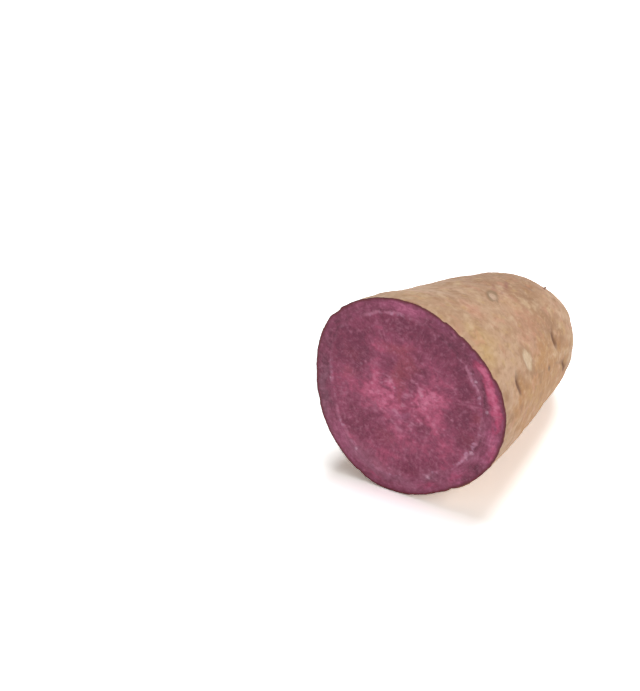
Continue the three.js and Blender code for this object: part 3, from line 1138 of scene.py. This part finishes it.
def bake_map(mesh, data):
    """A plain UV map: the skin as a strip, the cut and the tail as discs above it."""
    edge, strip, disc = 0.01, 0.60, 0.175
    cut_middle, tail_middle, stub_spot = [0.19, 0.81], [0.60, 0.81], [0.9, 0.8]
    layer = data.uv_layers.new(name="OFBake")
    at = np.zeros((len(data.loops), 2))
    quads = mesh.faces
    cut = np.stack([mesh.reach * np.cos(mesh.angle), mesh.reach * np.sin(mesh.angle)], -1)
    flat = cut.reshape(-1, 2) * disc
    count = mesh.flesh_faces
    at[: 4 * count] = flat[quads[:count].ravel()] + cut_middle
    rings = len(mesh.paths)
    turn = np.arange(AROUND)[None, :, None] + np.array([0, 0, 1, 1])
    path = np.concatenate([[0], mesh.paths]) / mesh.paths[-1]
    rows = np.stack([path[:-1], path[1:], path[1:], path[:-1]], -1)[:, None, :]
    u = edge + (1 - 2 * edge) * np.broadcast_to(turn / AROUND, (rings, AROUND, 4))
    v = edge + strip * np.broadcast_to(rows, (rings, AROUND, 4))
    start, end = 4 * count, 4 * (count + rings * AROUND)
    at[start:end] = np.stack([u.ravel(), v.ravel()], -1)
    cap = quads[count + rings * AROUND :] - mesh.cap_ids[0, 0]
    at[end : end + cap.size] = flat[cap.ravel()] + tail_middle
    at[end + cap.size :] = stub_spot
    layer.data.foreach_set("uv", at.astype(np.float32).ravel())


def all_root_ends(first):
    """The points and faces of the root ends, numbered from the first free vertex."""
    points, faces = [], []
    for along, around, length, radius, lean in ROOT_ENDS:
        here, _, ahead, out = surface_spot(along, around)
        stub, sides = root_end(here, out, ahead, length, radius, lean)
        faces += [tuple(i + first for i in side) for side in sides]
        points.append(stub)
        first += len(stub)
    return np.vstack(points), faces


def make_half():
    """The whole half as one piece, with skin and flesh."""
    mesh = Skeleton()
    smooth = base_points(mesh)
    fill_cut(mesh, smooth)
    points, masks = sculpt(mesh, smooth)
    flesh_masks(mesh, points, masks)
    stubs, stub_faces = all_root_ends(mesh.count)

    data = bpy.data.meshes.new("purple_sweet_potato_half")
    data.from_pydata(np.vstack([points, stubs]) * MM, [], mesh.faces.tolist() + stub_faces)
    stub_brown = 0.7  # the root ends are painted as a dot of this strength
    for name, values in masks.items():
        added = blank(name, len(stubs)) + (stub_brown if name == "dot" else 0)
        masks[name] = np.concatenate([values, added])
    write_masks(data, masks)
    data.materials.append(skin_material())
    data.materials.append(flesh_material())
    slots = np.zeros(len(data.polygons), np.int32)
    slots[: mesh.flesh_faces] = 1
    data.polygons.foreach_set("material_index", slots)
    data.shade_smooth()
    data.set_sharp_from_angle(angle=SHARP)
    bake_map(mesh, data)
    data.update()
    half = bpy.data.objects.new("purple_sweet_potato_half", data)
    bpy.context.scene.collection.objects.link(half)
    return half


half = make_half()
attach(half, "root")
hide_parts("sweet_potato_half")


# ---- Floor, light and camera ----

FLOOR_LIGHT = 0.8  # the floor's colour where it lights the half
FLOOR_SEEN = 1.8  # its colour where it is seen, so bright that only deep shadows show on it
FLOOR_SIZE = 8  # m
FLOOR_LEVEL = -0.00015  # m, just below the half, so that the two never share a plane
SKY = 0.13  # the sky's strength where it lights the half


def grey(level):
    return (level, level, level, 1.0)


def seen_directly(m):
    """1 on camera, glossy and transmission rays, and 0 on others."""
    path = m.node("ShaderNodeLightPath").outputs
    seen = m.math("MAXIMUM", path["Is Camera Ray"], path["Is Glossy Ray"])
    return m.math("MAXIMUM", seen, path["Is Transmission Ray"])


def make_floor():
    """A pale floor, seen much whiter than it lights the half."""
    bpy.ops.mesh.primitive_plane_add(size=FLOOR_SIZE, location=(0, 0, FLOOR_LEVEL))
    floor = bpy.context.object
    floor.name = "floor"
    m = Paint(bpy.data.materials.new("floor_white"))
    shade = m.mix(seen_directly(m), grey(FLOOR_LIGHT), grey(FLOOR_SEEN))
    floor.data.materials.append(m.end(m.node("ShaderNodeBsdfDiffuse", {"Color": shade}).outputs[0]))


def make_world():
    """An even dim sky that lights the half, seen as white."""
    m = Paint(bpy.data.worlds.new("studio"))
    strength = m.ramp(seen_directly(m), 0.0, 1.0, SKY, 1.0)
    sky = m.node("ShaderNodeBackground", {"Color": grey(1.0), "Strength": strength}).outputs[0]
    bpy.context.scene.world = m.end(sky, "ShaderNodeOutputWorld")


def sun(name, direction, strength, spread, tint):
    """A soft lamp that shines from a direction."""
    lamp = bpy.data.lights.new(name, "SUN")
    lamp.energy = strength
    lamp.angle = math.radians(spread)
    lamp.color = tint
    made = bpy.data.objects.new(name, lamp)
    made.rotation_euler = Vector(direction).to_track_quat("Z", "Y").to_euler()
    bpy.context.scene.collection.objects.link(made)


def make_camera():
    """Looks from the front right and above, and aims at a point to the left of the half."""
    azimuth, elevation = math.radians(30.5), math.radians(30)
    distance = 0.5672
    aim = Vector((-0.0515, -0.0135, 0.0252))
    level = math.cos(elevation)
    back = Vector((math.sin(azimuth) * level, -math.cos(azimuth) * level, math.sin(elevation)))
    lens = bpy.data.cameras.new("camera")
    lens.lens = 85
    lens.sensor_width = 36
    lens.clip_start, lens.clip_end = 0.01, 50
    camera = bpy.data.objects.new("camera", lens)
    camera.rotation_mode = "QUATERNION"
    camera.rotation_quaternion = back.to_track_quat("Z", "Y")
    camera.location = aim + back * distance
    bpy.context.scene.collection.objects.link(camera)
    bpy.context.scene.camera = camera


make_floor()
make_world()
# At a strength of pi, a lamp lights a white surface that faces it to full white.
sun("top", (0.0, 0.18, 1.0), 0.57 * math.pi, 28, (0.95, 0.98, 1.0))
sun("right", (1.0, -0.2, 0.68), 0.37 * math.pi, 40, (1.0, 0.95, 0.90))
sun("front_left", (-0.6, -1.0, 0.2), 0.19 * math.pi, 40, (0.88, 0.94, 1.0))
sun("front_right", (0.5, -1.0, 0.2), 0.20 * math.pi, 40, (1.0, 0.98, 0.95))
make_camera()
bpy.context.scene.view_settings.view_transform = "Standard"
